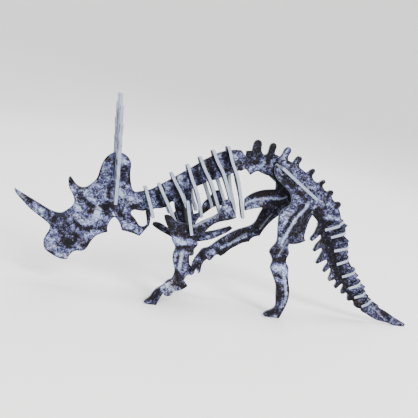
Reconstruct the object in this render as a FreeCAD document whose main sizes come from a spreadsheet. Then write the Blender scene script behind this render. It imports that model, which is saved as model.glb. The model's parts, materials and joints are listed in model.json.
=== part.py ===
# Slot-together skeleton of a long-nosed, spiky-frilled horned dinosaur.
#
# Every piece is cut from the same flat board. Long pieces stand in planes parallel to XZ
# (profile, sternum, legs); the cross pieces lie in planes that contain the Y axis and are
# half-lapped onto them in slots that are a hair wider than the board. The hip bridge alone goes
# sideways through a closed mortise.
#
# Frame: +X towards the tail, -X towards the nose, +Z up, -Y the animal's left.
# The origin is under the middle of the model at floor level. Outlines are drawn in one common
# side-view grid (x, z); the cell "grid_shift" moves that grid so the model is centred on X = 0.
import FreeCAD, Part
import math
import os
import Sketcher

V = FreeCAD.Vector
os.makedirs("parts", exist_ok=True)
doc = FreeCAD.newDocument("skeleton")

# ---------------------------------------------------------------- driving dimensions (mm, deg)
sheet = doc.addObject("Spreadsheet::Sheet", "Sizes")
CELLS = [
    ("board", 2.0, "board thickness"),
    ("slot_width", 2.1, "slot width: board plus 0.05 clearance on each side"),
    ("hair", 0.05, "clearance left at the floor of each lap"),
    ("grid_shift", 16.8, "side-view grid x that lands on X = 0"),
    ("fore_plane", 17.5, "distance of each fore leg's mid-plane from the profile's"),
    ("hind_plane", 14.3, "distance of each hind leg's mid-plane from the profile's"),
    ("rib_lap", 5.0, "depth of the slots that hold the ribs"),
    ("neck_lap", 4.2, "depth of the neck rib's slot"),
    ("shoulder_lap", 21.0, "solid left over the shoulder plate's slot"),
    ("frill_lap", 13.0, "depth of the frill's slot in the skull"),
    ("tail_lap", 3.2, "depth of the tail ribs' slots"),
    ("hip_lap", 10.5, "distance from the hip bridge's front end to the leg laps' floor"),
    ("leg_lap", 30.4, "distance down the shoulder plate to the fore leg laps' floor"),
    ("sternum_lap", 40.0, "distance down the shoulder plate to the sternum lap's floor"),
    ("knob_reach", 2.1, "radius of the seam's knob, for reference"),
]
for row, (alias, value, note) in enumerate(CELLS, start=1):
    sheet.set("A%d" % row, alias)
    sheet.set("B%d" % row, str(value))
    sheet.set("C%d" % row, note)
    sheet.setAlias("B%d" % row, alias)
doc.recompute()
S = {alias: float(sheet.get(alias)) for alias, _, _ in CELLS}

# ---------------------------------------------------------------- outlines
# Tokens are "x,z" pairs in millimetres. A star ends one edge and starts the next, points
# between stars are run through by a smooth curve, and a caret is the middle of a round arc.
FRONT = """
    -117.1,54.6* -113,52.7 -108.7,50.9 -103.9,48.7 -98.5,46.3 -94.2,44.5 -91,43.9 -88,44.2
    -85.3,46.2 -83,48.6 -82,51.2 -82.5,54.2 -83.9,56.7 -85.9,59.4 -87,62.6 -87.3,65 -86.6,66.7*
    -84.8,65.1 -83.2,63.3 -80.9,61.7 -78.4,61.2 -76.1,61.9 -73.7,64.1 -71.4,67 -70.4,70.6
    -69.9,74.3 -68.9,78.4 -66.8,82.2 -64.1,84.4 -60.6,85.4 -57.4,84.9 -54.5,83.2 -52.6,80.4
    -52.1,76.2 -51.6,72 -50.4,68 -49,64.8 -47.3,63.4 -44.7,63.9 -41.7,64.9 -38.2,66.2 -34.9,68.5
    -31.6,71.1 -27.8,73.9 -24,77 -20.2,80.1 -16.4,83.1 -12.7,86.2 -8.9,89.5 -5.1,92.3 -1.2,95
    2.8,97 7,98.3 12.7,99.2* 16.25,96* 16.63,93.6* 15.184,93.6* ^11.25,92.4 15.184,91.2* 17,91.2*
    17.5,88.25* 15.1,86.5* 12.4,86 9.9,84.2 7,82 3.4,80.5 -0.1,78.4 -3.7,77.3 -6.6,75.1 -10.1,72.8
    -13.2,70.6* -12.8,66.8 -11.8,62.6 -10.2,58.4 -8.9,54.3 -8.4,49.5 -8.4,44.3* -18.2,44.3*
    -17.7,47.2 -17.9,50 -19.2,52.8 -21.2,56.7 -22.4,60.6* -23.9,60.9 -26.4,57.9 -29.8,55.8
    -33.1,55.2 -35.2,53.6 -35.3,51.3 -35,48 -35.1,44.1* -36.7,41.6 -38.2,39.2 -39.8,36.7* -43.3,37.6 -47.2,38.3 -51.1,38.6*
    -52.5,41.7 -54.5,44.5 -56.9,46 -58.6,44.3 -59.6,41.7 -60,39.2 -59.3,36.5* -62.6,35.1 -65.5,33.3
    -67.7,30.4 -69.2,27.1 -70.7,24 -73.2,22.4 -75.5,22.3 -77.8,21.3 -79.5,19 -80.5,16.3* -83.1,15.9
    -87.1,16.7 -91,18.4 -94,20.3 -95.7,23.1 -96,26.5 -95,29.5 -93.8,32.7 -93.8,35.3 -95.7,37.1
    -99.3,39.4 -103.5,41.9 -108,44.9 -112.3,48.7 -115.5,51.5
"""
LOOP = """
    -38.6,53.6* -43.2,52.4 -47,51.6 -47.4,50.2 -45.3,47.8 -42.8,45.2 -40.2,42.8 -38.1,43 -36.6,44.8*
    -37.1,47 -37.9,49.6 -38.6,51.6
"""
REAR = """
    16.1,99.4* 19.5,100.1* 19.6,103.7 20.3,106.1 22.2,107.4 24.3,106.4 25,103.4 25.6,100.7*
    28.1,99 29.6,100* 30,103.4 30.7,106.2 32.3,107.2 34.1,106.1 34.2,103 34.6,99.8* 36.6,98.9
    38.3,100* 39.5,102.7 40.6,105.2 42.6,106.2 44.2,104.7 43.6,101.8 43.5,98.6* 45,96.9 46.7,97*
    47.8,99 48.9,101.1 51,101.8 52.4,100.5 51.8,98.3 51.5,95.8* 53.3,93.8 56.9,92.4* 58.6,93.4
    60.1,95 62,95.5 62.6,93.9 61.8,92.1 61.8,90.1* 63.8,88.1 66.6,87.4* 68.4,88.9 70.2,89.8
    71.1,88.5 70.1,86.9 70.3,85.1* 71.9,83.5 74.4,82.8* 75.8,83.9 77.5,83.7 78,82 77.2,80.5*
    78.9,78.2 81.1,76.9* 82.7,77.5 84.6,76.8 84.8,74.9 83.9,73.5* 85.4,70.9 86.7,68.1 87.2,65.4*
    92.8,63.4* 90.5,59.3* 92,56* 96.4,53.3* 94.7,49.6* 97.7,45.7* 96.8,42.8* 101.4,37.2
    104.4,33.9* 108.4,31.3* 106.9,28.7* 110.5,26.6* 115.2,24.3* 113.7,21* 119,18.5* 118.1,15.9*
    122.3,14.8 125.3,13.8 127.2,12.8* 128.7,10.9* 132.8,9.5 136.2,8.1 140.5,6 144.8,4.2 148.3,2.8
    150.1,2* 150.4,1* 149.6,0* 141.5,0* 135,1.5 128.3,2.4 123.3,4.2 119,6 116.8,6.7* 115.4,8.7*
    112.6,8.9* 110.9,9.6* 109.9,11.2 109.5,12.6* 107.6,13.7* 105.8,12.9* 104.7,13.2* 104.2,15.2
    103.9,17.4* 102.3,18.3* 100.6,17.3* 99.4,17* 98.7,18.8 99,20.9 99.2,23.2* 98.5,24.1* 97.2,23.2
    95.7,21.3 94.8,20* 93.6,20.7* 93.3,21.9 93.9,23.8 93.4,25.4* 92,26* 90.3,25.1 88.7,24.5*
    87.7,26* 88.3,29.5 88.3,31.6 87.9,33* 87.1,33.4* 85.7,31.6 84.3,29.9* 83.1,30.3* 83.2,32.8
    84.2,35 84.9,36.8* 84.2,38.3* 83,38.4* 79.8,36.2 77.6,34.8* 76.8,35.5* 78.2,39.9 79.4,43.8*
    79,45.4* 77.9,45.7* 76.3,44.4 74.2,42.6* 73,43.4* 73.8,46.3 74.6,48.5 76.3,50.9 76.7,52.6*
    76.2,54.1* 75.2,54.2* 73.6,52 71,49.2* 69.7,49.8* 69.6,51.5 71.2,54.6 72,58 72.6,60.3* 72.2,62
    69.9,64.3 67.4,66.5* 66.2,62.7 65.5,58.6 65.1,53.9 65.3,51.1 66.7,49.1* 63.3,47 58.9,45.6
    54.8,45.4* 54.5,50 54.4,55.8 53.5,60.9 50.5,64.6 45.3,66.4 38.9,66.5 32.1,65.7 27.2,64.2
    22.7,62.4* 21.6,66.2 21.1,69.6* 23.7,72.5 26.7,74.7 30.9,76.7 35.2,77.9 39.6,78.7* 39.3,81.3
    38.4,83.8 35.8,85.8 34.9,86.3* 31.6,86.7 28.3,87.4 25.5,88.1 23.3,86.9 21.5,85* 18.9,87.6*
    17.6,88.2* 17.05,91.25* 15.157,91.25* ^11.3,92.4 15.157,93.55* 16.68,93.55* 16.3,96*
"""
STERNUM = """
    -32.9,46.3* -29.8,46.8 -26,45.6 -22.6,43.9 -18.5,42.4 -13.5,41.8 -8.5,42.2 -3.7,43.3 0.4,45.1
    5.2,46.7 10.4,48.9 15.6,51.3* 17.2,50.2* 15.2,47.8 11.2,44.9 6.2,41.7 0.9,39.6 -5.5,37.9
    -12,37.1 -17.2,37.8 -21.4,39.4 -26.8,41.4 -30.2,42.9 -33.1,44.6*
"""
LEFT_FORE = """
    -21.9,52.4 -24.2,54.2 -27.4,55.8 -30,55.2* -29.1,52.5 -27.7,50 -26.2,47.6 -24.9,45.7 -23.5,43.2
    -22.2,40.1 -20,36.9 -20.4,33.9 -20.4,30.7 -19.3,27 -18,23.9 -17.8,20.1 -18.9,17.4 -20.9,16.2
    -22.2,14.2 -24.2,12.1 -26.9,9.8 -28.6,7.1 -30.2,4.2 -32.5,1 -31.6,0* -24.9,0* -23.5,4.5
    -22.1,7.9* -19.7,6.4 -17.2,7.3 -16,9.7 -13.2,10.8 -10.2,12.3 -8.2,14.5* -9.9,16.4 -11.3,18.1
    -11.3,21.5 -11.2,25.4 -11.5,29.7 -10.7,33.1* -8.2,34.9 -8.5,37.5 -7.3,39.5 -7.1,41.8 -8.4,43.7
    -7.5,45.5 -5.7,47.3 -3.9,49.3 -2.2,51.7 0.9,54.8 5.9,57.2 11,59 13.2,60.4* 12.2,62.7 10.2,65.7
    8.4,69.2 6.4,70.5 4.4,69.6 3.1,67.2 2.8,63.9 1.2,60.8 -2.9,57.7 -7.6,54.7 -11.9,51.8 -15,51.6
    -18.3,52.3
"""
RIGHT_FORE = """
    -0.5,55 -0.6,58.9 1.3,62.4 3.5,65.3 5.4,68.6 8,69.7 10.9,67.2 13.4,62.7* 11.3,60.3 7,58.5
    3.2,55.1 -1.2,50.2 -3,45.3 -2.4,40.7 -1.5,36.2 -1.4,32 -2,27.8 -2.7,24.2 -2.1,20.2 -0.2,17.4
    2,17.2 2.8,14.2 1,11.3* -1.9,10.7 -2.9,8.4 -3.8,5.6 -5.4,3 -6.6,0* -16,0* -16.6,1.6* -14.2,3
    -11.6,5.2 -9.9,8.2 -9.6,12.5 -9.7,18.4 -10.1,24.3 -11.7,28.8 -13.5,33.2 -14.4,37.8 -15.4,42.4
    -17.6,46.6 -18,50.4 -16.2,53* -12.6,52.6 -8.3,51.6 -4.3,52.2
"""
LEFT_HIND = """
    34.2,98.8* 38.6,99.3 44.6,97.4 51.7,93.7 58.4,89.4 64.6,84.2 68.3,79.3 68.8,75.3* 66.1,73.8
    63.2,73.6 61.2,71.9 59.2,68.5 56.8,64.2 54.4,59.3 52.2,53.9 50.9,49.2 50.8,45.9 52,42.7
    51.4,39.8 51.4,36.9 53.2,34.3 54.4,29.9 55.7,24.4 57.3,20 58.1,15.5 57.9,10.8 56.9,6.5 54.8,0*
    45.2,0* 43.8,1.4* 45.5,3.4 48.1,4.9 50.4,6.9 50.3,11 49.3,15.5 48.5,20 46.5,24.3 43.9,28.5
    42,32.8 42.4,36.3 41.2,38.9 39.3,41.5* 40.9,45.6 42.3,48 42.4,52 41.6,56.3 41,60.7 40.6,65
    41.6,68 43.9,70.6 46.3,73.2 46.1,76.9 44.5,80.1 41.2,82.7 37.2,85.3 33.9,88 32,91.4 32.1,95.4
"""
RIGHT_HIND = """
    34.2,98.8* 38.6,99.3 44.6,97.4 51.7,93.7 58.4,89.4 64.6,84.2 68.3,79.3 68.8,75.3* 66.1,73.8
    63.2,73.6 61.2,71.9 58.2,68.6 54.9,65.4 51.5,61.6 48.5,58.5 45.6,55.1 43.1,51.3 41.4,48
    40.2,44.8* 37.2,43.9 35.1,42.3 33.9,39.8* 29.9,38.5 25.7,35.7 21.7,32.4 19.3,29.6 16.8,27.5*
    13.7,27.9 12.3,26.1 10.4,23.8 8.5,24.5* 6.7,22.3 5.8,19.8 5.8,16.8 4.7,13.9* 2.9,16.4 0.3,16.5*
    -0.7,18.5 -0.3,21.9 0.8,25 2.5,28.2 4.3,31 7,32.1 10,34.4 13.4,38 17.4,41.5 21.5,44.7 25.7,47.3
    30.1,49.3 33.8,51.6 35.6,54.2 36.8,58.5 38.4,63.4 40.4,69.6 43.9,70.6 46.3,73.2 46.1,76.9
    44.5,80.1 41.2,82.7 37.2,85.3 33.9,88 32,91.4 32.1,95.4
"""

# Half outlines of the cross pieces, in (y, s): s runs up the plate from the point where it
# meets the profile's edge. They are read from the top centre round to the bottom centre and
# mirrored in s.
FRILL_HALF = """
0,23.2* 1.9,26.5 3.9,31 5.4,35* 6.3,35* 7.1,30 7.8,25.6 8.8,21.8* 11.2,24.2 13.8,27.2 15.7,29.2*
16.4,28.5* 15.8,24.5 15,20 14.8,16.8* 17,17.6 19.6,18.7 21.4,19.2* 21.8,18.3* 19.7,15.4 17.8,12.2
17.2,9* 19,8.6 20.9,8* 20.8,7.1* 18.6,5 17.6,1.5 17.4,-1.5* 18.9,-2.7* 18.7,-3.7* 16.9,-5.5
15.9,-9* 17,-11* 16.7,-12.1* 14.8,-13.6 13.4,-18 12,-23 10.6,-27.6 9.2,-30* 7.6,-29.2 6.1,-25.5
4.9,-21.5 3.4,-18.6*
"""
SHOULDER_HALF = """
3.6,-11.8* 6.5,-13.2 9.4,-16.2 12.4,-18 15.6,-18 17.8,-15.9 19.2,-12.9* 20.3,-14.2* 20.3,-33.9*
14.6,-33.9* 13.2,-32.3 10.9,-31.6 8.8,-33.2 7.3,-36.6 5.5,-40.3 3.4,-42*
"""
NECK_HALF = """
2.5,2.6* 3.5,1.2 5.8,-2.4 8,-6.4 9.5,-10.4 9.9,-13.4 9.2,-15.8* 7.2,-15* 6.4,-11.8 5.1,-9.3 3.4,-8*
"""


def rib_half(reach, width, knee, foot, poke, lap_end):
    """Wishbone rib: top tab and two bowed arms down to s = -reach. They are widest ('width' from
    the centre) at s = -knee and close in to 'foot' of that width at their tips."""
    outer = [(0.18, poke, 1), (0.27, poke - 1.6, 0)]
    outer += [(p, -q * knee, 0) for p, q in ((0.33, 0.10), (0.395, 0.25), (0.537, 0.44), (0.79, 0.62),
                                             (0.95, 0.82), (1.0, 1.0))]
    low = reach - knee
    for t in ((0.35, 0.7) if low > 12.0 else (0.5,)):
        outer.append((1.0 - (1.0 - foot) * t ** 1.6, -knee - t * low, 0))
    tip = [(foot, -reach + 1.2, 0), (foot - 0.06, -reach, 1), (foot - 0.2, -reach + 1.0, 1)]
    inner = [(foot - 0.255 + 0.4 * (1.0 - foot), -knee - 0.66 * low, 0), (0.74, -knee - 8.0, 0),
             (0.68, -knee - 3.6, 0), (0.55, -max(knee - 1.5, lap_end + 1.6), 0),
             (0.38, -lap_end - 0.5, 0), (0.23, -lap_end, 1)]
    inner = [q for i, q in enumerate(inner) if i > 2 or (i == 2 and low > 5.0) or low > 14.0]
    return " ".join("%.3f,%.3f%s" % (p * width, q, "*" if c else "") for p, q, c in outer + tip + inner)


def tail_half(reach, width, drop):
    """Short winged rib of the tail: reach is the length of its outer edge, which starts 'drop'
    below the rib's top."""
    pts = [(1.6, 1.2, 1), (3.0, 0.5, 0), (0.72 * width, 1.4 - drop, 0), (width, -drop, 1),
           (width, -drop - 0.5 * reach, 0), (0.93 * width, 0.2 - drop - reach, 1),
           (0.74 * width, 0.8 - drop - reach, 0), (0.54 * width, 0.2 - drop - 0.66 * reach, 0),
           (2.1, -2.4 - 0.46 * reach, 1)]
    return " ".join("%.3f,%.3f%s" % (p, q, "*" if c else "") for p, q, c in pts)


# name, grid point on the profile's edge, lean from upright (towards the head), half outline
RIBS = [
    ("neck_rib", (-40.75, 65.15), 22.8, NECK_HALF, "neck_lap"),
    ("rib_1", (-33.35, 69.72), 31.9, rib_half(22.2, 14.2, 16.0, 0.95, 1.0, 8.6), "rib_lap"),
    ("shoulder_rib", (-25.85, 75.48), 32.0, rib_half(14.2, 15.8, 8.6, 0.97, 3.4, 7.8), "rib_lap"),
    ("rib_2", (-17.50, 82.23), 23.7, rib_half(29.2, 15.4, 14.9, 0.70, 2.9, 8.8), "rib_lap"),
    ("rib_3", (-10.60, 88.02), 27.9, rib_half(33.5, 16.0, 12.5, 0.95, 3.1, 9.2), "rib_lap"),
    ("rib_4", (-3.45, 93.45), 27.2, rib_half(36.4, 16.0, 11.4, 0.90, 3.1, 9.6), "rib_lap"),
    ("rib_5", (4.86, 97.65), 20.6, rib_half(41.2, 16.0, 18.4, 0.80, 2.6, 9.6), "rib_lap"),
]
SHOULDER = ("shoulder_plate", (-22.25, 78.40), 17.6)
FRILL = ("frill", (-61.65, 85.10), 6.4)
TAIL_RIBS = [
    ("tail_rib_1", (87.95, 65.13), 25.0, 10.0, 8.4),
    ("tail_rib_2", (90.78, 59.80), 25.2, 9.4, 8.0),
    ("tail_rib_3", (94.97, 50.18), 20.5, 8.8, 7.5),
    ("tail_rib_4", (97.28, 42.22), 27.3, 7.4, 7.0),
    ("tail_rib_5", (103.73, 34.63), 27.5, 8.2, 6.6),
    ("tail_rib_6", (109.62, 27.11), 28.6, 7.3, 6.0),
    ("tail_rib_7", (114.65, 20.55), 26.0, 6.4, 5.4),
    ("tail_rib_8", (120.05, 15.30), 33.0, 5.2, 4.8),
]
BRIDGE_FRONT = (35.95, 94.27)       # grid point of the hip bridge's front end
BRIDGE_FALL = 31.2                # its fall towards the tail, degrees
BRIDGE_LENGTH = 30.8
BRIDGE_HALF = 17.4                # half its width


# ---------------------------------------------------------------- helpers
def read(tokens):
    """Outline tokens to [(x, z, kind)] with kind in 'corner', 'smooth', 'arc'."""
    out = []
    for tok in tokens.split():
        kind = "smooth"
        if tok.startswith("^"):
            kind, tok = "arc", tok[1:]
        elif tok.endswith("*"):
            kind, tok = "corner", tok[:-1]
        x, z = tok.split(",")
        out.append((float(x), float(z), kind))
    return out


def mirror(half):
    """Closed outline from its right-hand half, mirrored in the first coordinate."""
    left = [(-x, z, k) for x, z, k in reversed(half) if abs(x) > 1e-6]
    return half + left


def add_outline(sketch, pts):
    """Adds one closed loop of lines, arcs and smooth curves to a sketch."""
    first = next(i for i, p in enumerate(pts) if p[2] == "corner")
    pts = pts[first:] + pts[:first] + [pts[first]]
    run = [pts[0]]
    geo = []
    for p in pts[1:]:
        run.append(p)
        if p[2] != "corner":
            continue
        vs = [V(q[0], q[1], 0) for q in run]
        if len(vs) == 2:
            geo.append(Part.LineSegment(vs[0], vs[1]))
        elif run[1][2] == "arc":
            geo.append(Part.Arc(vs[0], vs[1], vs[2]))
        else:
            curve = Part.BSplineCurve()
            curve.interpolate(vs)
            geo.append(curve)
        run = [p]
    base = sketch.GeometryCount
    for g in geo:
        sketch.addGeometry(g, False)
    return base, len(geo)


def plane_of(body, role):
    for f in body.Origin.OriginFeatures:
        if f.Role == role:
            return f
    raise RuntimeError("no plane " + role)


def new_sketch(body, role, name, offset=None):
    sk = body.newObject("Sketcher::SketchObject", name)
    sk.AttachmentSupport = [(plane_of(body, role), "")]
    sk.MapMode = "FlatFace"
    if offset is not None:
        sk.AttachmentOffset = offset
    return sk


def plate(name, pts, role, placement, window=None):
    """A flat piece: its outline (and one window) padded evenly to both sides of its plane."""
    body = doc.addObject("PartDesign::Body", name)
    body.Label = name
    sk = new_sketch(body, role, name + "_outline")
    add_outline(sk, pts)
    if window:
        add_outline(sk, window)
    pad = body.newObject("PartDesign::Pad", name + "_pad")
    pad.Profile = sk
    pad.SideType = "Symmetric"
    pad.Length = S["board"]
    pad.setExpression("Length", "Sizes.board")
    body.Placement = placement
    doc.recompute()
    return body


def slot(body, role, tag, floor, towards, length):
    """Cuts one slot: floor centre, direction to its mouth (both in the sketch plane), length."""
    before = body.Shape.Volume
    ang = math.degrees(math.atan2(towards[1], towards[0])) - 90.0
    off = FreeCAD.Placement(V(floor[0], floor[1], 0), FreeCAD.Rotation(V(0, 0, 1), ang))
    sk = new_sketch(body, role, body.Name + "_" + tag + "_sketch", off)
    half = S["slot_width"] / 2.0
    c = [V(-half, 0, 0), V(half, 0, 0), V(half, length, 0), V(-half, length, 0)]
    for i in range(4):
        sk.addGeometry(Part.LineSegment(c[i], c[(i + 1) % 4]), False)
    for i in range(4):
        sk.addConstraint(Sketcher.Constraint("Coincident", i, 2, (i + 1) % 4, 1))
    sk.addConstraint(Sketcher.Constraint("Symmetric", 0, 1, 0, 2, -1, 1))
    sk.addConstraint(Sketcher.Constraint("Horizontal", 0))
    sk.addConstraint(Sketcher.Constraint("Vertical", 1))
    sk.addConstraint(Sketcher.Constraint("Horizontal", 2))
    sk.addConstraint(Sketcher.Constraint("Vertical", 3))
    w = sk.addConstraint(Sketcher.Constraint("DistanceX", 0, 1, 0, 2, S["slot_width"]))
    sk.addConstraint(Sketcher.Constraint("DistanceY", 1, 1, 1, 2, length))
    sk.setExpression("Constraints[%d]" % w, "Sizes.slot_width")
    cut = body.newObject("PartDesign::Pocket", body.Name + "_" + tag)
    cut.Profile = sk
    cut.Type = "ThroughAll"
    cut.SideType = "Symmetric"
    doc.recompute()
    taken = before - body.Shape.Volume
    if taken < 0.5:
        raise RuntimeError("slot %s of %s took only %.3f mm3" % (tag, body.Name, taken))
    return taken


def up(lean):
    a = math.radians(lean)
    return (-math.sin(a), math.cos(a))


def cross_placement(point, u):
    """Placement of a cross piece: local x to world Y, local y to u in XZ."""
    m = FreeCAD.Matrix(0, u[0], u[1], point[0] - S["grid_shift"],
                       1, 0, 0, 0,
                       0, u[1], -u[0], point[1],
                       0, 0, 0, 1)
    return FreeCAD.Placement(m)


def side_placement(y):
    return FreeCAD.Placement(V(-S["grid_shift"], y, 0), FreeCAD.Rotation())


def along(point, u, dist):
    return (point[0] + u[0] * dist, point[1] + u[1] * dist)


pieces = []

# ---------------------------------------------------------------- profile
front = plate("front_profile", read(FRONT), "XZ_Plane", side_placement(0.0), read(LOOP))
rear = plate("rear_profile", read(REAR), "XZ_Plane", side_placement(0.0))
pieces += [front, rear]

# ---------------------------------------------------------------- ribs, from above
for name, point, lean, half, lap in RIBS:
    u = up(lean)
    depth = S[lap]
    slot(front, "XZ_Plane", name + "_slot", along(point, u, -depth), u, depth + 8.0)
    rib = plate(name, mirror(read(half)), "XY_Plane", cross_placement(point, u))
    slot(rib, "XY_Plane", "lap", (0.0, -depth + S["hair"]), (0.0, -1.0), 20.0)
    pieces.append(rib)

# ---------------------------------------------------------------- frill, from above
name, point, lean = FRILL
u = up(lean)
slot(front, "XZ_Plane", "frill_slot", along(point, u, -S["frill_lap"]), u, S["frill_lap"] + 8.0)
frill = plate(name, mirror(read(FRILL_HALF)), "XY_Plane", cross_placement(point, u))
slot(frill, "XY_Plane", "lap", (0.0, -S["frill_lap"] + S["hair"]), (0.0, -1.0), 24.0)
pieces.append(frill)

# ---------------------------------------------------------------- shoulder plate, from below
name, point, lean = SHOULDER
us = up(lean)
ps = point
slot(front, "XZ_Plane", "shoulder_slot", along(ps, us, -S["shoulder_lap"]),
     (-us[0], -us[1]), 17.0)
shoulder = plate(name, mirror(read(SHOULDER_HALF)), "XY_Plane", cross_placement(ps, us))
slot(shoulder, "XY_Plane", "profile_lap", (0.0, -S["shoulder_lap"] - S["hair"]), (0.0, 1.0), 16.0)
for side, y in (("left", -S["fore_plane"]), ("right", S["fore_plane"])):
    slot(shoulder, "XY_Plane", side + "_leg_lap", (y, -S["leg_lap"] + S["hair"]), (0.0, -1.0), 6.0)
slot(shoulder, "XY_Plane", "sternum_lap", (0.0, -S["sternum_lap"] + S["hair"]), (0.0, -1.0), 6.0)
pieces.append(shoulder)

sternum = plate("sternum", read(STERNUM), "XZ_Plane", side_placement(0.0))
slot(sternum, "XZ_Plane", "lap", along(ps, us, -S["sternum_lap"]), us, 8.0)
pieces.append(sternum)

for name, y, outline in (("left_fore_leg", -S["fore_plane"], LEFT_FORE),
                         ("right_fore_leg", S["fore_plane"], RIGHT_FORE)):
    leg = plate(name, read(outline), "XZ_Plane", side_placement(y))
    slot(leg, "XZ_Plane", "lap", along(ps, us, -S["leg_lap"]), us, 14.0)
    pieces.append(leg)

# ---------------------------------------------------------------- hip bridge and hind legs
fall = math.radians(BRIDGE_FALL)
db = (math.cos(fall), -math.sin(fall))          # along the bridge, towards the tail
ub = (-db[0], -db[1])                           # local +y of the bridge, towards its front end
L = BRIDGE_LENGTH
slot(rear, "XZ_Plane", "bridge_mortise", along(BRIDGE_FRONT, db, L + S["hair"]), ub,
     L + 2.0 * S["hair"])
half = read("%g,0* %g,-1.4* %g,%g* %g,%g*" % (BRIDGE_HALF - 1.2, BRIDGE_HALF, BRIDGE_HALF, -L + 1.4,
                                            BRIDGE_HALF - 1.2, -L))
bridge = plate("hip_bridge", mirror(half), "XY_Plane", cross_placement(BRIDGE_FRONT, ub))
for side, y in (("left", -S["hind_plane"]), ("right", S["hind_plane"])):
    slot(bridge, "XY_Plane", side + "_leg_lap", (y, -S["hip_lap"]), (0.0, -1.0), 26.0)
pieces.append(bridge)

for name, y, outline in (("left_hind_leg", -S["hind_plane"], LEFT_HIND),
                         ("right_hind_leg", S["hind_plane"], RIGHT_HIND)):
    leg = plate(name, read(outline), "XZ_Plane", side_placement(y))
    slot(leg, "XZ_Plane", "lap", along(BRIDGE_FRONT, db, S["hip_lap"] + S["hair"]), ub, 22.0)
    pieces.append(leg)

# ---------------------------------------------------------------- tail ribs, from above
for name, point, rise, reach, width in TAIL_RIBS:
    drop = 4.3 if name == "tail_rib_1" else 2.2
    a = math.radians(rise)
    u = (math.cos(a), math.sin(a))
    depth = S["tail_lap"]
    slot(rear, "XZ_Plane", name + "_slot", along(point, u, -depth), u, depth + 6.0)
    rib = plate(name, mirror(read(tail_half(reach, width, drop))), "XY_Plane", cross_placement(point, u))
    slot(rib, "XY_Plane", "lap", (0.0, -depth + S["hair"]), (0.0, -1.0), 14.0)
    pieces.append(rib)

# ---------------------------------------------------------------- checks and export
doc.recompute()
bad = [o.Name for o in doc.Objects if "Invalid" in o.State or "Error" in o.State]
if bad:
    raise RuntimeError("failed objects: " + ", ".join(bad))
box = FreeCAD.BoundBox()
for body in pieces:
    sh = body.Shape
    if sh.isNull() or not sh.isValid() or len(sh.Solids) != 1:
        raise RuntimeError("bad shape: %s (%d solids)" % (body.Label, len(sh.Solids)))
    box.add(sh.BoundBox)
for body in pieces:
    body.Shape.exportStep("parts/" + body.Label + ".step")
    print("%-16s volume %8.1f mm3" % (body.Label, body.Shape.Volume))
print("pieces:", len(pieces))
print("box X %.3f..%.3f  Y %.3f..%.3f  Z %.3f..%.3f" % (box.XMin, box.XMax, box.YMin, box.YMax,
                                                     box.ZMin, box.ZMax))
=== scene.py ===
"""Looks of the slot-together horned dinosaur skeleton: printed boards with rounded rims, pale
cut edges and a soft studio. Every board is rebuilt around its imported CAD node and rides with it."""
import json
import math

import bpy
import numpy as np
from mathutils import Matrix, Vector
from mathutils.geometry import delaunay_2d_cdt


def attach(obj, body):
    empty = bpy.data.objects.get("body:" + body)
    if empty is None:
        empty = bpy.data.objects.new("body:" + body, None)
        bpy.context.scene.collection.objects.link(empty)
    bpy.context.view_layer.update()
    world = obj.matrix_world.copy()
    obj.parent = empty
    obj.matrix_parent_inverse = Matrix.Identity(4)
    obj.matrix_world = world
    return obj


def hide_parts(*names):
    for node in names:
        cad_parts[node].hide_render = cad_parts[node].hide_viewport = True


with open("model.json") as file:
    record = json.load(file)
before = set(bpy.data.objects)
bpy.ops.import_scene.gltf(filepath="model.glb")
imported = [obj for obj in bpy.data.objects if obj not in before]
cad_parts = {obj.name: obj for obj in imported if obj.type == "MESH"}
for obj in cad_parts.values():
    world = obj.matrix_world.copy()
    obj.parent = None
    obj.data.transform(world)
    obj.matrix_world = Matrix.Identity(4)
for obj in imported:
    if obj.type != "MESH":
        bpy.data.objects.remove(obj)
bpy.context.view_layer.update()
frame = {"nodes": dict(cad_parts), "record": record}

# ------------------------------------------------------------------ camera
# Stands left of and in front of the model, 10 degrees up, and is rolled so that the tail dips.
AZ, EL, ROLL = (math.radians(q) for q in (13.5, 10.0, 11.2))
look = Vector((math.sin(AZ) * math.cos(EL), math.cos(AZ) * math.cos(EL), -math.sin(EL)))
right0 = Vector((math.cos(AZ), -math.sin(AZ), 0.0))
up0 = right0.cross(look)
right = right0 * math.cos(ROLL) + up0 * math.sin(ROLL)
up = -right0 * math.sin(ROLL) + up0 * math.cos(ROLL)
place = Vector((-0.117955, -0.421343, 0.136174))
cam = bpy.data.objects.new("studio_camera", bpy.data.cameras.new("studio_camera"))
cam.matrix_world = Matrix(((right.x, up.x, -look.x, place.x), (right.y, up.y, -look.y, place.y),
                           (right.z, up.z, -look.z, place.z), (0, 0, 0, 1)))
cam.data.sensor_width = 36.0
cam.data.lens = 61.1
cam.data.clip_start = 0.01
cam.data.clip_end = 50.0
bpy.context.scene.collection.objects.link(cam)
bpy.context.scene.camera = cam

# ------------------------------------------------------------------ what each board shows
SIDE_BOARDS = ("front_profile", "rear_profile", "sternum", "left_fore_leg", "right_fore_leg",
               "left_hind_leg", "right_hind_leg")
BEVEL = 0.13          # mm, rounding of the rims
GRID = 0.72           # mm, spacing of the points inside a board's face
STEP = 0.55           # mm, longest step along an outline

# Painted shade on the cut edges of these cross boards: how far each one's bare edges are darkened.
CUT_EDGE_SHADE = {"hip_bridge": 0.26, "frill": 0.12, "shoulder_rib": 0.14, "rib_3": 0.14, "rib_4": 0.08, "tail_rib_1": 0.12,
            "tail_rib_2": 0.06, "tail_rib_5": 0.10, "tail_rib_7": 0.10, "tail_rib_8": 0.18}
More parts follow.
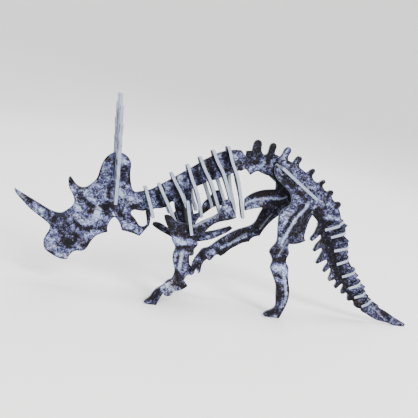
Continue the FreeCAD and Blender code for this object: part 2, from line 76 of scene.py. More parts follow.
# Overall darkness of each board's face, 0 is middle grey: print, with painted shade on the far hind leg and on the
# faces of the ribs and shoulder boards, set darker for the shade they lie in.
BASE_TONE_AND_SHADE = {
    "front_profile": 0.10, "rear_profile": -0.10, "sternum": -0.02, "left_fore_leg": -0.02,
    "right_fore_leg": 0.02, "left_hind_leg": 0.02, "right_hind_leg": -0.12,
    "frill": 0.42, "shoulder_plate": -0.85, "hip_bridge": -0.05, "neck_rib": -0.9, "shoulder_rib": -0.8,
    "rib_1": -0.7, "rib_2": -0.7, "rib_3": -0.7, "rib_4": -0.7, "rib_5": -0.7,
}
# Lights and darks brushed over the marbling of the boards that stand lengthwise, mostly print, with painted shade on
# the far hind leg and one painted highlight on the near fore leg's top rim:
# (strength, width in mm, (x, z) points in mm in the row frame).
STROKES = {
    "front_profile": [
        (-0.35, 3.2, (-37.8, 57.8), (-34.6, 52.4)), (0.45, 1.2, (-29.2, 64.7), (-25.3, 55.9)),
        (-0.9, 1.6, (-55, 53), (-52.8, 46.2)), (-0.5, 1.2, (-34.3, 69.4), (-30.5, 65.6)),
        (0.75, 1.6, (-132.9, 54), (-130.3, 52.8)), (-0.9, 1.3, (-125.2, 49.4), (-123.3, 48.2)),
        (0.45, 2.2, (-120.8, 45.8), (-115.8, 43)), (-0.5, 1.2, (-117.9, 46.9), (-113.6, 44.8)),
        (-0.7, 2.4, (-109.6, 38.7), (-107.1, 42.2)), (-0.4, 2, (-104.3, 40.6), (-101.2, 44.3)),
        (-1, 2.6, (-102, 29), (-97.3, 25.7), (-94.9, 31.1)), (-0.45, 2.2, (-105.5, 35), (-100.6, 36.8)),
        (0.4, 2, (-111.3, 27.4), (-108.4, 21.9)), (0.8, 1.5, (-103.8, 19.1), (-98.9, 18.2)),
        (0.35, 1.5, (-108.6, 32.3), (-104.7, 28.7)), (-0.8, 1.3, (-108.9, 19.9), (-105.8, 18.3)),
        (0.75, 1.7, (-97.9, 50.3), (-94.4, 47.4), (-95.3, 44)), (0.85, 1.6, (-85.8, 45.5), (-82.5, 48.8)),
        (0.7, 1.6, (-93.3, 40.4), (-87.7, 40.6), (-82.5, 44.6)), (0.65, 1.5, (-93, 57.9), (-87.3, 54.7)),
        (0.7, 1.3, (-103.1, 60.7), (-100.7, 58.4)), (0.6, 1.4, (-89.2, 64), (-83.8, 62.6)),
        (-1.15, 1.9, (-80.9, 51.4), (-78.5, 48.3)), (-0.95, 1.2, (-91.2, 52.2), (-87.6, 50.6), (-88.6, 47.4)),
        (-0.8, 1.4, (-93.4, 54), (-95.5, 55.8)), (-0.95, 1.5, (-96.7, 39.5), (-92, 36.5), (-87, 37.7)),
        (-0.6, 1.3, (-86.7, 37.5), (-79.7, 38.1)), (0.45, 1.6, (-88.7, 31.5), (-83.5, 35.7)),
        (-0.9, 1.3, (-88.8, 25.4), (-85.6, 29.1)), (-0.6, 1.2, (-78.7, 34.7), (-76.9, 37.8)),
        (-0.9, 1.2, (-103.2, 65.9), (-101.9, 62.2)), (0.35, 2, (-83.8, 77.9), (-84.3, 71.8)),
        (-0.7, 1.2, (-87, 73.1), (-87.6, 67.9)), (0.8, 1.6, (-75.2, 82.1), (-72, 79.8)),
        (-0.75, 1.3, (-72.3, 77.5), (-69.2, 73.1), (-68.6, 68.6)), (-0.65, 1.2, (-74.8, 75.1), (-71.8, 69.6)),
        (0.85, 1.5, (-73.8, 62.9), (-70.8, 60.3)), (0.35, 1.4, (-76.3, 70.6), (-74.5, 66)),
        (-0.95, 1.7, (-78.6, 53), (-74.3, 52.6)), (-0.55, 1.3, (-79.9, 64.7), (-79.1, 58.2)),
        (0.3, 1.4, (-81.1, 61.5), (-82.2, 55.7)), (0.45, 1.6, (-66.4, 59.3), (-60.6, 59.1)),
        (-0.85, 1.4, (-64.5, 54.6), (-58.7, 54.4)), (-0.8, 1.4, (-71.4, 50.3), (-68.4, 47.4)),
        (0.55, 1.6, (-66.9, 42.8), (-62.8, 41.5)), (-0.75, 1.2, (-65.1, 48.6), (-60.5, 44)),
        (0.4, 1.2, (-58.5, 39.9), (-56.1, 40)), (-0.5, 1.2, (-55.6, 42.1), (-54.2, 42.8)),
        (0.35, 1.6, (-56.3, 61.7), (-52.1, 59.8)), (-0.8, 1.6, (-51.1, 65.2), (-46.8, 58.2)),
        (0.55, 1.5, (-45.4, 70.7), (-41.7, 64.5)), (-0.55, 1.4, (-44.6, 59.2), (-41, 64.2)),
        (0.65, 1.7, (-39.4, 76.6), (-36.5, 71.7)), (-0.95, 2, (-39.6, 68.3), (-34.2, 61.1)),
        (-0.6, 1.5, (-33.2, 79.8), (-29.5, 72.8)), (0.3, 1.2, (-34, 72.3), (-32.7, 75.8)),
        (-0.75, 1.8, (-30.4, 84.6), (-25.7, 76)), (0.3, 1.3, (-26, 81), (-23.2, 78.2)),
        (-0.8, 1.8, (-23.4, 90.2), (-18.2, 79.9)), (0.35, 1.4, (-17.9, 87), (-15.2, 82.4)),
        (-0.65, 1.5, (-15.2, 95.9), (-10.3, 86)), (0.35, 1.4, (-16.1, 92.5), (-14.1, 88)),
        (0.75, 1.8, (-7.9, 95.2), (-3.4, 92.9)), (-0.5, 1.2, (-6.4, 89.7), (-2.4, 87.8)),
    ],
    "rear_profile": [
        (1.8, 0.4, (5, 67.6), (11.3, 70.4), (15.8, 72), (20.5, 73), (26.3, 72.9), (30.8, 75.1)),
        (-0.9, 2, (5.4, 106), (6.3, 98)), (-0.9, 1.8, (15.5, 106.2), (14.6, 98.3)),
        (0.45, 1.8, (24.8, 104.5), (23.1, 98.7)), (-0.6, 1.5, (1, 98.4), (4.5, 91.6)),
        (0.6, 1.3, (3.2, 88.1), (5.5, 91.3), (8.7, 90.1)), (0.55, 1.2, (11, 91.3), (11.7, 96.5)),
        (-0.9, 1.3, (4.9, 105.9), (5.7, 98.8)), (-0.5, 1.3, (8, 97.7), (7.3, 93.6)),
        (-0.9, 1.3, (15.4, 105.5), (14.6, 98.8), (13.7, 93.5)), (0.35, 1.5, (17.1, 95.7), (16.5, 90)),
        (0.6, 1.3, (24.7, 104.2), (23.5, 99.2)), (-0.7, 1.1, (33.5, 100.2), (33.3, 97.9)),
        (0.5, 1.2, (31.4, 97.2), (30.4, 94.3)), (-0.8, 1.1, (44.1, 93.9), (43.6, 91.1)),
        (-0.6, 1.1, (52.7, 87.9), (51.7, 85.9)), (-0.7, 1.1, (59.7, 82.4), (58.6, 80.1)),
        (-0.8, 1.1, (66.1, 76), (65.2, 73.6)), (-0.8, 1.4, (20, 94.2), (27.7, 90.8), (37.6, 84.1)),
        (0.35, 2, (27.3, 94.7), (34.7, 90.6), (42.2, 85.7)), (0.45, 2, (45, 83), (53.5, 77)),
        (0.4, 2.2, (60, 75.1), (66.9, 68.7)),
        (-0.95, 1.5, (19.9, 90.6), (27.5, 85.4), (37.2, 78.8), (45.7, 72.6)), (0.4, 2, (34.1, 79), (43.5, 73)),
        (-0.6, 1.3, (49.7, 71.2), (56.2, 70.8)), (-0.9, 1.8, (20.2, 86.9), (25.2, 82.1)),
        (-1.2, 2, (8.8, 72.7), (16.7, 76.4), (26.5, 77.3)), (-1.2, 1.8, (20.7, 68.7), (31.1, 71.3)),
        (0.95, 0.8, (4.7, 66.2), (7.8, 68.8), (13, 71), (19.8, 72.1), (27, 74.2)),
        (0.45, 1.5, (7.8, 64.2), (14.3, 67.3)), (0.3, 1.3, (8.8, 70.5), (12.7, 73.8)),
        (-1.2, 3, (27.4, 77.5), (31.8, 74.5)), (-1, 2, (46.8, 65), (45.4, 55.5)),
        (-0.55, 1.8, (42, 53.6), (40.9, 47.9)), (-0.7, 1.2, (51.7, 68.5), (55.3, 64.6)),
        (0.2, 1.3, (42, 59.6), (40.8, 54.6)),
        (-1.2, 2.8, (54.5, 65.7), (60.5, 57.8), (66.3, 47.8), (73.6, 36.9)),
        (-1.1, 2.5, (75.9, 32.5), (83.5, 22.6)), (-0.95, 2, (87.4, 18.2), (96.8, 10.9)),
        (0.75, 1.8, (60.8, 66.6), (68.4, 65.7)), (-0.75, 1.2, (63.5, 70.5), (66.8, 68)),
        (0.4, 1.4, (71.2, 58.9), (73.9, 58.1)), (0.35, 1.3, (75, 51.4), (77.8, 52.3)),
        (0.35, 1.3, (77.4, 44.6), (79.6, 44.7)), (0.4, 1.3, (81.9, 36.6), (84.8, 34.6)),
        (0.35, 1.2, (88.2, 29.3), (90.4, 28.6)), (0.45, 1.2, (94.8, 24.1), (97.5, 23.5)),
        (0.4, 1.2, (99.9, 17.7), (101.7, 16.9)), (-0.9, 1.6, (63, 62.6), (68.8, 60.8)),
        (-0.8, 1.4, (69.9, 54.2), (74.7, 53.7)), (0.35, 1.5, (106.6, 10.6), (113, 7.6)),
        (-0.7, 1.2, (114.1, 8.5), (121.3, 3.9)), (0.3, 1.2, (122.7, 2.6), (129.1, 1.1)),
    ],
    "sternum": [
        (-1, 1.4, (-47.9, 44.8), (-44.1, 43.4)), (0.25, 1, (-43.6, 44.1), (-41.3, 42.5)),
        (-0.9, 1.6, (-40.3, 41.7), (-32.4, 39.7)), (-0.6, 1.3, (-20.6, 41), (-13.3, 43.9)),
        (0.35, 1, (-14.6, 42.8), (-7.6, 47.2)), (-0.6, 1.2, (-6.5, 47.6), (-1.3, 49.7)),
        (0.25, 0.9, (-21.2, 39.6), (-15.5, 41.5)),
    ],
    "left_fore_leg": [
        (-0.95, 1.7, (-44, 49.2), (-38.7, 46.1), (-31.6, 44.8), (-24.1, 44.8)),
        (-0.8, 1.5, (-32.3, 51.2), (-27.5, 48.7)), (0.5, 1.5, (-38.1, 40.4), (-32.8, 39.5), (-28.7, 41.6)),
        (1.5, 0.7, (-31.7, 35.1), (-31.8, 29.6), (-31.8, 23.9)),
        (1.9, 0.6, (-32.8, 34.7), (-32.4, 29.5), (-32.2, 24.1)), (-0.9, 2, (-45.2, 53.7), (-40.7, 49.9)),
        (-1, 2.4, (-38.8, 49.6), (-31.1, 48.5)), (0.45, 1.3, (-37.2, 52.6), (-33.4, 50.6)),
        (-0.7, 1.5, (-29.8, 47.2), (-24, 50.7)),
        # painted highlight: this pale line along the upper arm's top rim stands for that cut edge catching the light
        (1.95, 0.6, (-28.3, 51.4), (-22.8, 55.4), (-17.7, 59.1), (-14.8, 62.6)),
        (-0.75, 1.6, (-24, 50.3), (-17.3, 54.5)), (-0.6, 1.6, (-13.6, 57.6), (-7.6, 60.5)),
        (0.4, 1.8, (-11.9, 65.4), (-7.5, 62.2)), (-0.5, 1.2, (-8.4, 68.7), (-5.3, 64.3)),
        (0.75, 1.9, (-38.6, 43.1), (-32.8, 40.5)), (-1.15, 1.8, (-33.9, 37.1), (-25.8, 37.8)),
        (0.35, 1.3, (-29, 42.8), (-25.5, 41.6)), (0.95, 1, (-32.1, 35.2), (-32, 29.4), (-32.1, 23.4)),
        (0.45, 1.5, (-35.6, 32.8), (-34.9, 25.2)), (0.4, 1.2, (-28.1, 31.4), (-28.3, 23.7)),
        (-1.05, 1.7, (-33.1, 22.9), (-30.6, 16.8)), (-0.75, 1, (-34.2, 32.3), (-34.1, 27.1)),
        (0.9, 2, (-40.5, 13.1), (-35.9, 12.6)), (-0.9, 1.3, (-29.8, 14.5), (-26.4, 13.6)),
        (0.4, 1, (-33.4, 9.8), (-30.8, 11.9)), (-1.1, 1.9, (-46.1, 2.9), (-42.7, 7.9)),
        (0.7, 0.8, (-48.4, 0.4), (-45.3, 2.1)), (0.3, 1, (-40.2, 8.3), (-36.9, 10)),
    ],
    "right_fore_leg": [
        (-1.1, 2.6, (-13.9, 62.9), (-7.8, 61.5)), (-0.8, 2, (-18.3, 55.7), (-12.6, 56.3)),
        (0.45, 1.3, (-16.9, 58), (-15.1, 60.6)), (-0.7, 2, (-18.9, 26.3), (-17.8, 17.2)),
        (-0.9, 1.6, (-17.3, 14.4), (-15.2, 16.8)), (0.3, 1.4, (-19.3, 10.3), (-16.7, 8.7)),
    ],
    "left_hind_leg": [
        (1.8, 0.42, (40.5, 73.3), (35.4, 66), (30.7, 54.3), (28.8, 47.9)),
        (-0.9, 0.9, (42.2, 71.8), (37.5, 64.4), (32.9, 53.4), (30.8, 47.3)),
        (-0.6, 0.7, (37.6, 72.8), (32.9, 66.4), (28.2, 55.6)), (1.6, 0.45, (32.3, 50.9), (29.1, 41.6)),
        (1.75, 0.45, (33.9, 29.4), (36.4, 23.3), (38.9, 16.2), (39.9, 10.5)),
        (0.45, 2.6, (28.2, 69), (26.5, 64.3), (27.2, 57.1)), (0.3, 2, (28.8, 52.2), (27.8, 48.2)),
        (-1.05, 1.2, (37.7, 73.5), (32.1, 64.7), (29.4, 56.5)),
        (1, 1, (40.5, 74.7), (36, 67.7), (32.8, 60.8), (30.5, 53.7), (29.2, 48.4)),
        (-0.95, 1.2, (42.4, 70.9), (37.5, 64.4), (34.1, 56.1)), (-1.2, 2, (25.2, 42.7), (29, 42.8)),
        (-1.1, 1.6, (27.4, 36.9), (32.8, 37.4)), (-0.9, 1.4, (32.4, 44.4), (33.1, 39.9)),
        (0.7, 0.9, (32.2, 45.9), (29.1, 40.5)), (1, 2.2, (28.6, 32.3), (32.8, 31)),
        (0.7, 1.6, (33.9, 33.5), (35.7, 30.5)), (-0.6, 1.2, (28.9, 27.8), (33.3, 26.8)),
        (0.4, 1.4, (31.8, 25), (34.8, 24.2)), (-1.2, 1.9, (33.3, 20.6), (35.5, 12.8)),
        (0.95, 0.8, (35.1, 28.1), (37.3, 22.7), (39.5, 15.8)), (-0.8, 0.9, (38.1, 26.2), (40.3, 18.3)),
        (0.5, 1.2, (38.5, 10.8), (38, 7.5)), (-1.1, 1.5, (30.8, 2.2), (35.4, 4.9)),
        (-0.6, 1.2, (37.5, 2.5), (38.9, 5.8)), (0.35, 0.9, (32.5, 1), (36.3, 1.5)),
        (0.35, 2.4, (26.3, 90.3), (35, 84.1)), (-0.9, 1.5, (21.5, 88.7), (30.9, 82.1), (38.7, 77)),
        (0.4, 1.8, (31.7, 77.6), (37.2, 75.9)), (-0.6, 1.4, (20.8, 84.9), (25.3, 80.8)),
    ],
    # far hind leg: its dark strokes are partly print, partly painted shade where this leg lies in the body's shade
    "right_hind_leg": [
        (1.6, 0.4, (28.4, 60.5), (25.5, 55.6), (22.4, 49.5)),
        (1.6, 0.5, (14.2, 45.2), (8.6, 40.6), (3.7, 35.9)), (-1.3, 3.4, (35.1, 73.8), (29.4, 67), (24.9, 58.8)),
        (-1.2, 2.6, (23.5, 55.6), (21, 49)), (0.55, 0.8, (29.8, 64.1), (25.2, 59.6), (23, 54.3)),
        (-1.1, 1.6, (18.8, 49.2), (9.2, 43.8), (1, 37.6)), (-1.1, 1.5, (17.8, 42.7), (8.4, 36.3), (0.3, 29.7)),
        (0.95, 0.9, (-0.5, 33.4), (6.2, 37.5), (14.2, 42.8)), (0.3, 1, (2.9, 40), (8.1, 43.4)),
        (0.6, 1.7, (-8.1, 29.2), (-4.5, 28.8)), (-0.9, 1.3, (-11.5, 29.9), (-12.3, 25.3)),
        (-0.8, 1.2, (-2.9, 31.4), (-0.7, 28.8)), (0.35, 1.2, (-15.2, 21.4), (-13.5, 24.2)),
        (-0.7, 1.2, (-16.3, 18.6), (-12.2, 20.4)), (0.6, 1, (-13.8, 17.3), (-12.1, 14.9)),
        (0.35, 1, (13.7, 39.4), (17, 41.1)),
    ],
}
# The same for the cross boards, in their own plane: (strength, width, (y, s) points), where s is
# the height above the board's middle. They are mirrored to both sides.
CROSS = {
    "frill": [
        (0.8, 1.1, (1.2, 2), (4.6, 14), (5.6, 29)), (0.75, 1.1, (3, 1), (9.5, 12), (15.2, 22.5)),
        (0.75, 1.0, (4, -2), (12, 6), (20.6, 12)), (0.7, 1.0, (5, -5), (12, -4), (20, 1.2)),
        (0.65, 1.0, (5, -8), (11, -10), (18, -10)), (0.6, 1.0, (4.5, -12), (9.5, -17), (15.8, -18.2)),
        (0.5, 1.0, (3.5, -16), (7, -24), (8.8, -34)),
        (-1.1, 1.9, (4.4, 4.5), (6.6, 9.5)), (-1.1, 1.8, (8.0, 1.2), (12.2, 5.0)),
        (-1.1, 1.7, (8.4, -6.4), (13.6, -6.2)), (-1.1, 1.6, (7.2, -13.0), (11.6, -14.2)),
        (-1.0, 1.5, (5.4, -20.0), (8.0, -25.6)), (-0.9, 1.4, (2.4, 12), (3.0, 20)),
        (0.5, 1.0, (9.6, 16), (13.6, 13), (16.2, 8.5)), (0.5, 1.0, (15.6, 4.0), (16, -1), (15.4, -6)),
    ],
    "shoulder_plate": [
        (0.35, 0.9, (17.5, 6), (18.4, -6)), (0.3, 1.0, (6, 2), (10, -3), (12, -8)),
        (0.3, 0.8, (3.2, 6), (3.6, -8)), (-0.6, 1.6, (12, -1), (9.4, 5)),
    ],
    "hip_bridge": [
        (0.8, 1.0, (3.4, 14), (5.0, 6), (4.6, -4), (6.6, -14)), (0.55, 2.0, (10, 9), (11, -8)),
        (-0.9, 1.6, (7.2, 11), (8.0, 0), (8.2, -9)), (-0.8, 1.5, (15.2, 13), (15.6, -12)),
        (-0.7, 1.5, (2.0, 8), (2.2, -12)), (0.4, 1.2, (12.6, 14), (14.6, 4)),
    ],
}
BODY_OF = {n: b for b, ns in frame["record"]["behaviour"]["bodies"].items() for n in ns}


# ------------------------------------------------------------------ reading a packed board
def read_board(name):
    """Plane (centre, u, v, n), half thickness and closed outlines of a packed board, in mm."""
    me = frame["nodes"][name].data
    co = np.empty(len(me.vertices) * 3)
    me.vertices.foreach_get("co", co)
    co = co.reshape(-1, 3) * 1000.0
    me.calc_loop_triangles()
    tri = np.empty(len(me.loop_triangles) * 3, np.int64)
    me.loop_triangles.foreach_get("vertices", tri)
    tri = tri.reshape(-1, 3)
    keys, first, back = np.unique(np.round(co, 3), axis=0, return_index=True, return_inverse=True)
    back = back.reshape(-1)
    co, tri = co[first], back[tri]
    cr = np.cross(co[tri[:, 1]] - co[tri[:, 0]], co[tri[:, 2]] - co[tri[:, 0]])
    area = np.linalg.norm(cr, axis=1)
    tri, cr, area = tri[area > 1e-9], cr[area > 1e-9], area[area > 1e-9]
    nrm = cr / area[:, None]
    if name in SIDE_BOARDS:
        u, v = np.array((1.0, 0, 0)), np.array((0, 0, 1.0))
    else:
        w, vec = np.linalg.eigh((nrm * area[:, None]).T @ nrm)
        n = vec[:, -1]
        n[1] = 0.0
        n /= np.linalg.norm(n)
        u = np.array((0, 1.0, 0))
        v = np.cross(n, u)
        if v[2] < 0:
            v = -v
    n = np.cross(u, v)
    off = co @ n
    mid, half = (off.max() + off.min()) / 2, (off.max() - off.min()) / 2
    flat = co @ np.array((u, v)).T
    low, high = flat.min(0), flat.max(0)
    centre = (low + high) / 2
    if name not in SIDE_BOARDS:
        centre[0] = 0.0
    flat = flat - centre
    cap = (nrm @ n > 0.999) & (off[tri].min(1) > off.max() - 0.02)
    edges = {}
    for a, b, c in tri[cap]:
        for e in ((a, b), (b, c), (c, a)):
            edges[e] = True
    nxt = {a: b for a, b in edges if (b, a) not in edges}
    loops = []
    while nxt:
        start = next(iter(nxt))
        run, at = [], start
        while at in nxt:
            run.append(at)
            at = nxt.pop(at)
        if len(run) > 2:
            loops.append(flat[run])
    return dict(origin=u * centre[0] + v * centre[1] + n * mid, u=u, v=v, n=n, half=half, loops=loops)


def denser(loop):
    """The outline with no step longer than STEP and without crumbs."""
    keep = []
    m = len(loop)
    for i in range(m):
        a, b, c = loop[i - 1], loop[i], loop[(i + 1) % m]
        d0, d1 = b - a, c - b
        l0, l1 = np.hypot(*d0), np.hypot(*d1)
        turn = abs(math.atan2(d0[0] * d1[1] - d0[1] * d1[0], d0 @ d1))
        if l0 < 0.09 and turn < 0.25 and (not keep or np.hypot(*(keep[-1] - b)) < 0.2):
            continue
        keep.append(b)
    out = []
    m = len(keep)
    for i in range(m):
        a, b = keep[i], keep[(i + 1) % m]
        parts = max(1, int(math.ceil(np.hypot(*(b - a)) / STEP - 1e-6)))
        for k in range(parts):
            out.append(a + (b - a) * k / parts)
    return np.array(out)


def to_outline(pts, a, b):
    """Distance of each point to the nearest outline step, and whether it is inside."""
    dist = np.empty(len(pts))
    inside = np.empty(len(pts), bool)
    d = b - a
    ll = np.maximum((d * d).sum(1), 1e-12)
    for s in range(0, len(pts), 400):
        p = pts[s:s + 400]
        rel = p[:, None, :] - a[None]
        t = np.clip((rel * d).sum(2) / ll, 0, 1)
        near = rel - t[..., None] * d
        dist[s:s + 400] = np.sqrt((near * near).sum(2).min(1))
        over = (a[None, :, 1] > p[:, None, 1]) != (b[None, :, 1] > p[:, None, 1])
        with np.errstate(divide="ignore", invalid="ignore"):
            cut = a[None, :, 0] + (p[:, None, 1] - a[None, :, 1]) / d[None, :, 1] * d[None, :, 0]
        inside[s:s + 400] = (over & (p[:, None, 0] < cut)).sum(1) % 2 == 1
    return dist, inside


def brushed(pts, strokes):
    """Sum of soft brush strokes at each point."""
    total = np.zeros(len(pts))
    for stroke in strokes:
        power, width, line = stroke[0], stroke[1], np.array(stroke[2:], float)
        a, b = line[:-1], line[1:]
        dist, _ = to_outline(pts, a, b)
        total += power * np.exp(-(dist / width) ** 2)
    return total


def tone_of(name, flat, world_xz, rim):
    """Light (+) and dark (-) of the print at each point of a board's face, with some painted shade and one painted
    highlight, and its crisp streaks.
    Strokes stronger than 1 are streaks."""
    tone = np.full(len(flat), BASE_TONE_AND_SHADE.get(name, -0.45))
    streak = np.zeros(len(flat))
    if name in STROKES:
        tone += brushed(world_xz, [q for q in STROKES[name] if q[0] <= 1.0])
        streak = brushed(world_xz, [(q[0] - 1.0,) + q[1:] for q in STROKES[name] if q[0] > 1.0])
    elif name in CROSS:
        tone += brushed(np.abs(flat) * (1, 0) + flat * (0, 1), CROSS[name])
    else:
        tone += 0.75 * np.exp(-((rim - 1.45) / 0.42) ** 2) - 0.25 * np.exp(-(rim / 0.8) ** 2)
    return np.clip(tone, -0.75, 1.2), np.clip(streak, 0, 1)


def build_board(name):
    """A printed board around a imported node: flat faces, rounded rims and ruled cut edges."""
    P = read_board(name)
    seed = sum((i + 3) * ord(c) for i, c in enumerate(name)) % 9973
    rnd = np.random.RandomState(seed)
    rings = [denser(q) for q in P["loops"]]
    a = np.vstack(rings)
    b = np.vstack([np.roll(q, -1, axis=0) for q in rings])
    d = b - a
    seg = d / np.maximum(np.hypot(d[:, 0], d[:, 1]), 1e-9)[:, None]
    left = np.stack((-seg[:, 1], seg[:, 0]), 1)
    before = np.vstack([np.roll(left[s:s + len(q)], 1, axis=0)
                        for s, q in zip(np.cumsum([0] + [len(r) for r in rings[:-1]]), rings)])
    inward = left + before
    inward /= np.maximum(np.hypot(inward[:, 0], inward[:, 1]), 0.3)[:, None]
    grid_x = np.arange(a[:, 0].min(), a[:, 0].max(), GRID)
    grid_y = np.arange(a[:, 1].min(), a[:, 1].max(), GRID * 0.866)
    gx, gy = np.meshgrid(grid_x, grid_y)
    gx = gx + (np.arange(len(grid_y)) % 2)[:, None] * GRID / 2
    cloud = np.stack((gx.ravel(), gy.ravel()), 1) + rnd.uniform(-0.09, 0.09, (gx.size, 2))
    near = [(a + inward * BEVEL, 0.84 * BEVEL), (a + inward * 0.45 * BEVEL, 0.4 * BEVEL),
            (a[::2] + inward[::2] * 0.48, 0.4), (cloud, 0.62)]
    extra = []
    for pts, least in near:
        dist, inside = to_outline(pts, a, b)
        extra.append(pts[inside & (dist > least)])
    pts = np.vstack([a] + extra)
    edges, s = [], 0
    for q in rings:
        edges += [(s + i, s + (i + 1) % len(q)) for i in range(len(q))]
        s += len(q)
    verts, _, faces, orig, _, _ = delaunay_2d_cdt([Vector(p) for p in pts], edges, [], 1, 1e-6)
    flat = np.array([(q.x, q.y) for q in verts])
    where = {}
    for i, ids in enumerate(orig):
        for k in ids:
            where[k] = i
    rim, _ = to_outline(flat, a, b)
    rim[[where[k] for k in range(len(a))]] = 0.0
    tri = np.array([f for f in faces if len(f) == 3], np.int64)
    e1, e2 = flat[tri[:, 1]] - flat[tri[:, 0]], flat[tri[:, 2]] - flat[tri[:, 0]]
    cross = e1[:, 0] * e2[:, 1] - e1[:, 1] * e2[:, 0]
    tri[cross < 0] = tri[cross < 0][:, ::-1]
    tri = tri[np.abs(cross) > 1e-7]
    tri = tri[to_outline(flat[tri].mean(1), a, b)[1]]          # windows stay open
    r = np.clip(rim / BEVEL, 0, 1)
    fall = BEVEL * (1 - np.sqrt(np.clip(1 - (1 - r) ** 2, 0, 1)))
    h = P["half"]
    m = len(flat)
    rows = 4
    zs = [h - BEVEL - (2 * h - 2 * BEVEL) * k / rows for k in range(rows + 1)]
    uvn = [np.column_stack((flat, h - fall)), np.column_stack((flat, fall - h))]
    ring_ids = np.array([where[k] for k in range(len(a))])
    for k in range(1, rows):
        uvn.append(np.column_stack((flat[ring_ids], np.full(len(a), zs[k]))))
    uvn = np.vstack(uvn)
    row_id = [ring_ids] + [2 * m + (k - 1) * len(a) + np.arange(len(a)) for k in range(1, rows)] + [ring_ids + m]
    quads = []
    for i, j in edges:
        for k in range(rows):
            quads.append((row_id[k][i], row_id[k + 1][i], row_id[k + 1][j], row_id[k][j]))
    polys = [tuple(int(x) for x in t) for t in tri] + [tuple(int(x) + m for x in t[::-1]) for t in tri]
    caps = len(polys)
    polys += [tuple(int(x) for x in q) for q in quads]
    co = (P["origin"] + uvn[:, :1] * P["u"] + uvn[:, 1:2] * P["v"] + uvn[:, 2:] * P["n"]) / 1000.0
    me = bpy.data.meshes.new(name + "_board")
    me.from_pydata([tuple(c) for c in co], [], polys)
    me.validate()
    me.materials.append(PRINT)
    me.materials.append(CUT)
    idx = np.zeros(len(me.polygons), np.int32)
    idx[caps:] = 1
    me.polygons.foreach_set("material_index", idx)
    # what the materials read
    total = len(me.vertices)
    rim_all = np.zeros(total)
    rim_all[:m] = rim
    rim_all[m:2 * m] = rim
    tone, streak = tone_of(name, flat, (P["origin"] + flat[:, :1] * P["u"] + flat[:, 1:] * P["v"])[:, [0, 2]], rim)
    tone_all = np.zeros(total)
    tone_all[:m] = tone
    tone_all[m:2 * m] = tone
    streak_all = np.zeros(total)
    streak_all[:m] = streak
    streak_all[m:2 * m] = streak
    run = np.zeros(len(a))
    s = 0
    for q in rings:
        step = np.hypot(*(np.roll(q, -1, axis=0) - q).T)
        run[s:s + len(q)] = np.concatenate(([0], np.cumsum(step)[:-1]))
        s += len(q)
    run_all = np.zeros(total)
    run_all[ring_ids] = run
    run_all[ring_ids + m] = run
    for k in range(1, rows):
        run_all[2 * m + (k - 1) * len(a):2 * m + k * len(a)] = run
    grain = uvn + np.array((seed % 97, seed % 61, seed % 41)) * 3.1
    # painted shade on the cut edges: full on the long boards, a little on some cross boards
    edge_shade = np.full(total, 1.0 if name in SIDE_BOARDS else CUT_EDGE_SHADE.get(name, 0.0))
    for key, kind, data in (("edge_shade", "FLOAT", edge_shade), ("streak", "FLOAT", streak_all), ("rim", "FLOAT", rim_all), ("tone", "FLOAT", tone_all), ("run", "FLOAT", run_all),
                            ("ply", "FLOAT", uvn[:, 2] / h)):
        me.attributes.new(key, kind, "POINT").data.foreach_set("value", data.astype(np.float32))
    me.attributes.new("grain", "FLOAT_VECTOR", "POINT").data.foreach_set("vector", grain.astype(np.float32).ravel())
    me.polygons.foreach_set("use_smooth", [True] * len(me.polygons))
    me.set_sharp_from_angle(angle=math.radians(52))
    ob = bpy.data.objects.new(name + "_board", me)
    bpy.context.scene.collection.objects.link(ob)
    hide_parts(name)
    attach(ob, BODY_OF[name])
    return ob


